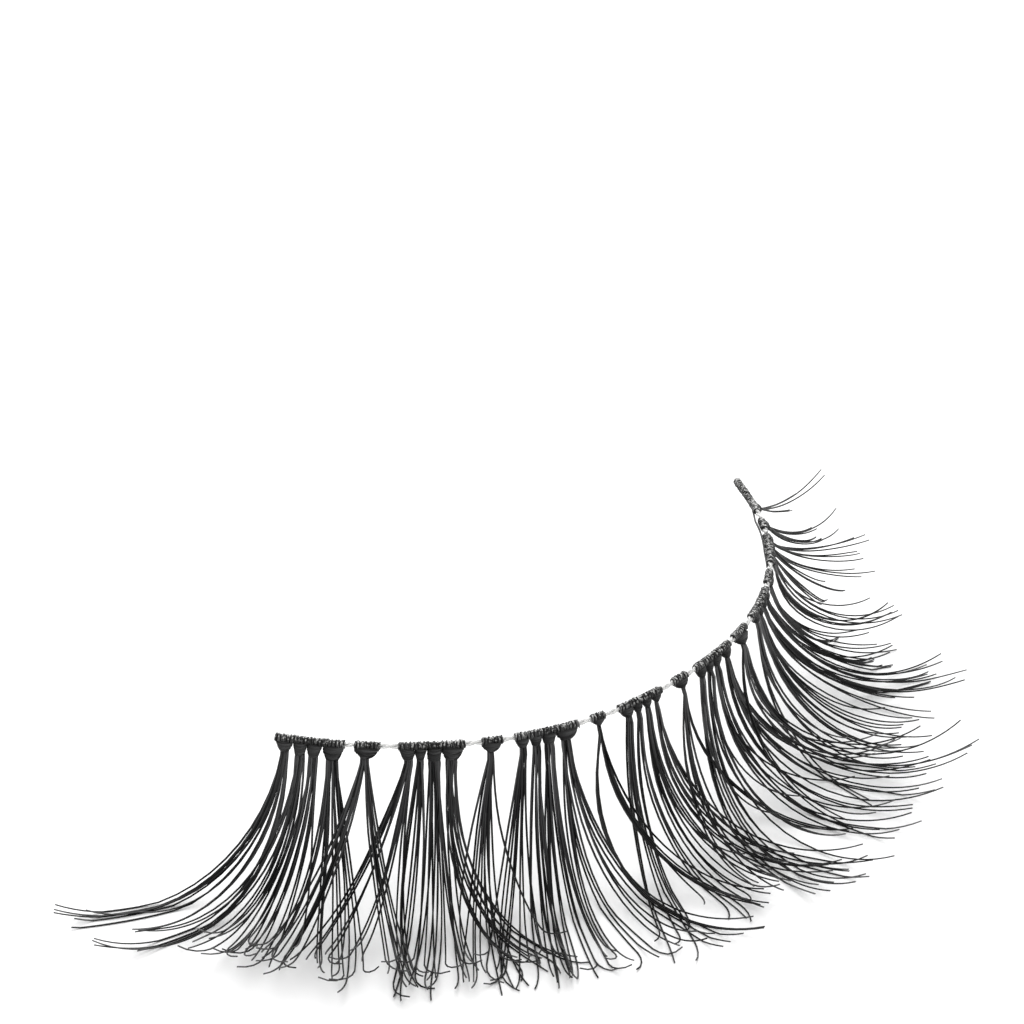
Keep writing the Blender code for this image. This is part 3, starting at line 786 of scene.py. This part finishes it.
def strand_shade_group():
    """Colour and roughness of a strand.

    Lightness is a ramp over the way along the strand, high at both ends, times a share that grows with the
    strand's own tone. On a hair the ramp is painted light: painted sheen at the root, painted shade along
    the middle and pale thin tips. Roughness is its least value plus a little more for a lighter tone.
    """
    inputs = (
        ("Dark", "NodeSocketColor", (0.0, 0.0, 0.0, 1.0)),
        ("Light", "NodeSocketColor", (1.0, 1.0, 1.0, 1.0)),
        ("Roughness", "NodeSocketFloat", 0.4),
    )
    outputs = (("Color", "NodeSocketColor"), ("Roughness", "NodeSocketFloat"))
    group, start, end = new_group("strand_shade", inputs, outputs)
    nodes, links = group.nodes, group.links
    tone = nodes.new("ShaderNodeAttribute")
    tone.attribute_name = "tone"
    run = nodes.new("ShaderNodeAttribute")
    run.attribute_name = "run"
    # The ramp is painted light along a hair: sheen at the root, shade along the middle, pale thin tips
    ramp = nodes.new("ShaderNodeFloatCurve")
    curve = ramp.mapping.curves[0]
    curve.points[0].location = PAINTED_LIGHT_BY_RUN[0]
    curve.points[1].location = PAINTED_LIGHT_BY_RUN[-1]
    for place in PAINTED_LIGHT_BY_RUN[1:-1]:
        curve.points.new(*place)
    ramp.mapping.update()
    links.new(run.outputs["Fac"], ramp.inputs["Value"])
    own = nodes.new("ShaderNodeMath")
    own.operation = "MULTIPLY_ADD"
    own.inputs[1].default_value, own.inputs[2].default_value = LIGHT_BY_TONE
    links.new(tone.outputs["Fac"], own.inputs[0])
    light = nodes.new("ShaderNodeMath")
    light.operation = "MULTIPLY"
    links.new(own.outputs[0], light.inputs[0])
    links.new(ramp.outputs["Value"], light.inputs[1])
    mix = nodes.new("ShaderNodeMix")
    mix.data_type = "RGBA"
    links.new(light.outputs[0], mix.inputs["Factor"])
    links.new(start.outputs["Dark"], mix.inputs["A"])
    links.new(start.outputs["Light"], mix.inputs["B"])
    links.new(mix.outputs["Result"], end.inputs["Color"])
    rough = nodes.new("ShaderNodeMath")
    rough.operation = "MULTIPLY_ADD"
    rough.inputs[1].default_value = ROUGHNESS_BY_TONE
    links.new(tone.outputs["Fac"], rough.inputs[0])
    links.new(start.outputs["Roughness"], rough.inputs[2])
    links.new(rough.outputs[0], end.inputs["Roughness"])
    return group


def strand_material(name, colours):
    """A material that takes its colour and roughness from the strand shade group."""
    shade = bpy.data.node_groups.get("strand_shade") or strand_shade_group()
    dark, light = getattr(colours, f"{name}_dark"), getattr(colours, f"{name}_light")
    roughness, gloss = FINISHES[name]
    material = bpy.data.materials.new(name)
    material.use_nodes = True
    nodes, links = material.node_tree.nodes, material.node_tree.links
    surface = nodes["Principled BSDF"]
    group = nodes.new("ShaderNodeGroup")
    group.name = "strand_shade"
    group.node_tree = shade
    group.inputs["Dark"].default_value = (*dark, 1.0)
    group.inputs["Light"].default_value = (*light, 1.0)
    group.inputs["Roughness"].default_value = roughness
    links.new(group.outputs["Color"], surface.inputs["Base Color"])
    links.new(group.outputs["Roughness"], surface.inputs["Roughness"])
    surface.inputs["Specular IOR Level"].default_value = gloss
    material.diffuse_color = (*dark, 1.0)
    return material


def add_glints(material, pale, size):
    """Mix pale specks into a strand material, on the parts that face up: painted highlights where the light
    from above catches the winding.

    The share of pale is a noise cut off below a level, times how far the surface faces up.
    """
    nodes, links = material.node_tree.nodes, material.node_tree.links
    surface, group = nodes["Principled BSDF"], nodes["strand_shade"]
    place = nodes.new("ShaderNodeTexCoord")
    noise = nodes.new("ShaderNodeTexNoise")
    noise.inputs["Scale"].default_value = 1.0 / size
    noise.inputs["Detail"].default_value = GLINT_DETAIL
    links.new(place.outputs["Object"], noise.inputs["Vector"])
    cut = nodes.new("ShaderNodeMapRange")
    cut.inputs["From Min"].default_value, cut.inputs["From Max"].default_value = GLINT_CUT
    links.new(noise.outputs["Fac"], cut.inputs["Value"])
    split = nodes.new("ShaderNodeSeparateXYZ")
    links.new(place.outputs["Normal"], split.inputs["Vector"])
    facing = nodes.new("ShaderNodeMapRange")
    facing.inputs["From Min"].default_value, facing.inputs["From Max"].default_value = GLINT_FACING
    links.new(split.outputs["Z"], facing.inputs["Value"])
    share = nodes.new("ShaderNodeMath")
    share.operation = "MULTIPLY"
    links.new(cut.outputs["Result"], share.inputs[0])
    links.new(facing.outputs["Result"], share.inputs[1])
    mix = nodes.new("ShaderNodeMix")
    mix.data_type = "RGBA"
    mix.inputs["B"].default_value = (*pale, 1.0)
    links.new(share.outputs[0], mix.inputs["Factor"])
    links.new(group.outputs["Color"], mix.inputs["A"])
    links.new(mix.outputs["Result"], surface.inputs["Base Color"])


class LashStyle(bpy.types.PropertyGroup):
    """How the hairs, knots and thread are drawn."""

    hair_diameter: bpy.props.FloatProperty(
        name="Hair diameter", description="Across one hair", default=0.000077, unit="LENGTH", precision=6
    )
    strand_diameter: bpy.props.FloatProperty(
        name="Wound hair diameter",
        description="Across one strand of a knot",
        default=0.00005,
        unit="LENGTH",
        precision=6,
    )
    hook: bpy.props.FloatProperty(
        name="Hook", description="How far a hooked tip turns aside, in degrees", default=85.0
    )
    hooked: bpy.props.FloatProperty(
        name="Hooked share", description="How many of the tips are hooked", default=0.35, min=0.0, max=1.0
    )
    sway: bpy.props.FloatProperty(
        name="Sway", description="How far a hair wavers along its length, in degrees", default=1.0
    )
    uneven: bpy.props.FloatProperty(
        name="Unevenness", description="How much the lengths differ, as a share", default=0.04, min=0.0
    )
    hair_steps: bpy.props.IntProperty(
        name="Hair steps", description="Straight parts of a hair", default=20, min=4
    )
    hair_sides: bpy.props.IntProperty(name="Hair sides", description="Sides of a hair", default=3, min=3)
    loops: bpy.props.IntProperty(name="Loops", description="Loops of one knot", default=11, min=1)
    loop_steps: bpy.props.IntProperty(
        name="Loop steps", description="Straight parts of a loop", default=14, min=6
    )
    glint_size: bpy.props.FloatProperty(
        name="Glint size",
        description="Across the specks on the winding",
        default=0.0001,
        unit="LENGTH",
        precision=6,
    )
    twist: bpy.props.FloatProperty(
        name="Twist", description="Length of one twist of the thread", default=0.0009, unit="LENGTH"
    )
    seed: bpy.props.IntProperty(name="Seed", description="Start of the random numbers", default=7)


def colour(name, description, *default):
    """A colour setting, from its red, green and blue."""
    return bpy.props.FloatVectorProperty(
        name=name, description=description, size=3, default=default, min=0.0, max=1.0, subtype="COLOR"
    )


class LashColours(bpy.types.PropertyGroup):
    """The darkest and the lightest colour of each finish."""

    satin_hair_dark: colour("Hair, dark", "Full hairs at their darkest", 0.001, 0.001, 0.001)
    satin_hair_light: colour("Hair, light", "Full hairs at their lightest", 0.12, 0.12, 0.122)
    fine_hair_dark: colour("Fine hair, dark", "Thinner hairs at their darkest", 0.005, 0.005, 0.005)
    fine_hair_light: colour("Fine hair, light", "Thinner hairs at their lightest", 0.20, 0.20, 0.202)
    faint_hair_dark: colour("Faint hair, dark", "The thinnest hairs at their darkest", 0.018, 0.018, 0.018)
    faint_hair_light: colour("Faint hair, light", "The thinnest hairs at their lightest", 0.25, 0.25, 0.252)
    knotted_hair_dark: colour("Knots, dark", "The bowls of the knots at their darkest", 0.008, 0.008, 0.008)
    knotted_hair_light: colour("Knots, light", "The bowls of the knots at their lightest", 0.13, 0.13, 0.131)
    wound_hair_dark: colour("Winding, dark", "The winding at its darkest", 0.012, 0.012, 0.012)
    wound_hair_light: colour("Winding, light", "The winding at its lightest", 0.17, 0.17, 0.17)
    # The colour of the painted highlights on the winding's upper side
    glint: colour("Glint", "The pale specks on the winding", 0.60, 0.60, 0.59)
    clear_thread_dark: colour("Thread, dark", "The thread at its darkest", 0.86, 0.86, 0.85)
    clear_thread_light: colour("Thread, light", "The thread at its lightest", 0.92, 0.92, 0.91)


class LashStage(bpy.types.PropertyGroup):
    """The floor, light and camera."""

    floor_size: bpy.props.FloatProperty(
        name="Floor size", description="Across the floor", default=1.2, unit="LENGTH"
    )
    floor_colour: colour("Floor colour", "The sheet under the strip", 0.93, 0.93, 0.93)
    camera_turn: bpy.props.FloatProperty(
        name="Camera turn", description="Round the strip", default=math.radians(132.12), subtype="ANGLE"
    )
    camera_rise: bpy.props.FloatProperty(
        name="Camera rise", description="Above level", default=math.radians(31.0), subtype="ANGLE"
    )
    camera_distance: bpy.props.FloatProperty(
        name="Camera distance", description="From the point looked at", default=0.2, unit="LENGTH"
    )
    camera_lens: bpy.props.FloatProperty(
        name="Lens", description="Focal length in millimetres", default=167.34
    )
    camera_target: bpy.props.FloatVectorProperty(
        name="Target",
        description="The point looked at",
        size=3,
        default=(-0.012715, -0.017360, 0.000118),
        subtype="TRANSLATION",
    )
    sky: bpy.props.FloatProperty(name="Sky", description="Strength of the even light", default=1.05)
    key: bpy.props.FloatProperty(name="Key", description="Power of the main lamp in watts", default=3.2)
    key_size: bpy.props.FloatProperty(
        name="Key size", description="Across the main lamp", default=0.40, unit="LENGTH"
    )
    key_place: bpy.props.FloatVectorProperty(
        name="Key place",
        description="Where the main lamp hangs, pointed at the middle of the strip",
        size=3,
        default=(-0.36, -0.33, 0.28),
        subtype="TRANSLATION",
    )


class LASH_OT_hair(bpy.types.Operator):
    """Build the hairs and knots of every group"""

    bl_idname = "lash.hair"
    bl_label = "Build hair"

    def execute(self, context):
        style, colours = context.scene.lash_style, context.scene.lash_colours
        names = ("satin_hair", "fine_hair", "faint_hair", "knotted_hair", "wound_hair")
        made = {name: strand_material(name, colours) for name in names}
        # Painted highlights on the winding's upper side
        add_glints(made["wound_hair"], colours.glint, style.glint_size)
        band = Band()
        for node, group in GROUPS.items():
            materials = [made[hair_finish(group.fine)], made["knotted_hair"], made["wound_hair"]]
            hair_piece(band, node, style, materials)
        return {"FINISHED"}


class LASH_OT_thread(bpy.types.Operator):
    """Build the two twisted plies of the thread"""

    bl_idname = "lash.thread"
    bl_label = "Build thread"

    def execute(self, context):
        material = strand_material("clear_thread", context.scene.lash_colours)
        surface = material.node_tree.nodes["Principled BSDF"]
        surface.inputs["Transmission Weight"].default_value = THREAD_CLEARNESS
        thread_piece(Band(), context.scene.lash_style, material)
        return {"FINISHED"}


class LASH_OT_stage(bpy.types.Operator):
    """Build the floor, the light and the camera"""

    bl_idname = "lash.stage"
    bl_label = "Build stage"

    def execute(self, context):
        stage, scene = context.scene.lash_stage, context.scene
        build_floor(stage, scene)
        build_light(stage, scene)
        build_camera(stage, scene)
        return {"FINISHED"}


def build_floor(stage, scene):
    """A level white sheet under the strip, a square about the origin."""
    half = stage.floor_size / 2
    corners = [(-half, -half, 0), (half, -half, 0), (half, half, 0), (-half, half, 0)]
    mesh = bpy.data.meshes.new("floor")
    mesh.from_pydata(corners, [], [(0, 1, 2, 3)])
    material = bpy.data.materials.new("pale_floor")
    material.use_nodes = True
    surface = material.node_tree.nodes["Principled BSDF"]
    surface.inputs["Base Color"].default_value = (*stage.floor_colour, 1.0)
    surface.inputs["Roughness"].default_value = 0.8
    surface.inputs["Specular IOR Level"].default_value = 0.1
    mesh.materials.append(material)
    floor = bpy.data.objects.new("floor", mesh)
    scene.collection.objects.link(floor)


def build_light(stage, scene):
    """An even white sky and one soft lamp low behind the strip."""
    world = bpy.data.worlds.new("sky")
    world.use_nodes = True
    sky = world.node_tree.nodes["Background"]
    sky.inputs["Color"].default_value = (1.0, 1.0, 1.0, 1.0)
    sky.inputs["Strength"].default_value = stage.sky
    scene.world = world
    lamp = bpy.data.lights.new("key", "AREA")
    lamp.shape = "DISK"
    lamp.size = stage.key_size
    lamp.energy = stage.key
    key = bpy.data.objects.new("key", lamp)
    place = Vector(stage.key_place)
    key.location = place
    key.rotation_euler = (-place).to_track_quat("-Z", "Y").to_euler()
    scene.collection.objects.link(key)
    scene.view_settings.view_transform = "Standard"


def build_camera(stage, scene):
    """The camera, its turn and rise measured about the point looked at.

    It stands off that point by the distance times the cosine of the rise, along the sine and minus
    the cosine of the turn, and by the distance times the sine of the rise upwards.
    """
    level = math.cos(stage.camera_rise)
    away = Vector(
        (
            level * math.sin(stage.camera_turn),
            -level * math.cos(stage.camera_turn),
            math.sin(stage.camera_rise),
        )
    )
    lens = bpy.data.cameras.new("photo_camera")
    lens.lens = stage.camera_lens
    lens.sensor_width = 36.0
    lens.clip_start = 0.005
    camera = bpy.data.objects.new("photo_camera", lens)
    camera.location = Vector(stage.camera_target) + away * stage.camera_distance
    camera.rotation_euler = away.to_track_quat("Z", "Y").to_euler()
    scene.collection.objects.link(camera)
    scene.camera = camera


class LASH_PT_panel(bpy.types.Panel):
    """The buttons and settings in the sidebar of the 3D view."""

    bl_idname = "LASH_PT_panel"
    bl_label = "Lash strip"
    bl_space_type = "VIEW_3D"
    bl_region_type = "UI"
    bl_category = "Lash strip"

    def draw(self, context):
        scene = context.scene
        for settings in (scene.lash_style, scene.lash_colours, scene.lash_stage):
            box = self.layout.box()
            for name in settings.__annotations__:
                box.prop(settings, name)
        for operator in OPERATORS:
            self.layout.operator(operator.bl_idname)


OPERATORS = (LASH_OT_hair, LASH_OT_thread, LASH_OT_stage)
CLASSES = (LashStyle, LashColours, LashStage, *OPERATORS, LASH_PT_panel)


def register():
    """Make the settings, operators and panel known to Blender."""
    for item in CLASSES:
        bpy.utils.register_class(item)
    bpy.types.Scene.lash_style = bpy.props.PointerProperty(type=LashStyle)
    bpy.types.Scene.lash_colours = bpy.props.PointerProperty(type=LashColours)
    bpy.types.Scene.lash_stage = bpy.props.PointerProperty(type=LashStage)


def unregister():
    """Take them out again."""
    del bpy.types.Scene.lash_stage
    del bpy.types.Scene.lash_colours
    del bpy.types.Scene.lash_style
    for item in reversed(CLASSES):
        bpy.utils.unregister_class(item)


def main():
    """Build everything."""
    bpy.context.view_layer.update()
    register()
    bpy.ops.lash.hair()
    bpy.ops.lash.thread()
    bpy.ops.lash.stage()


if __name__ == "__main__":
    main()
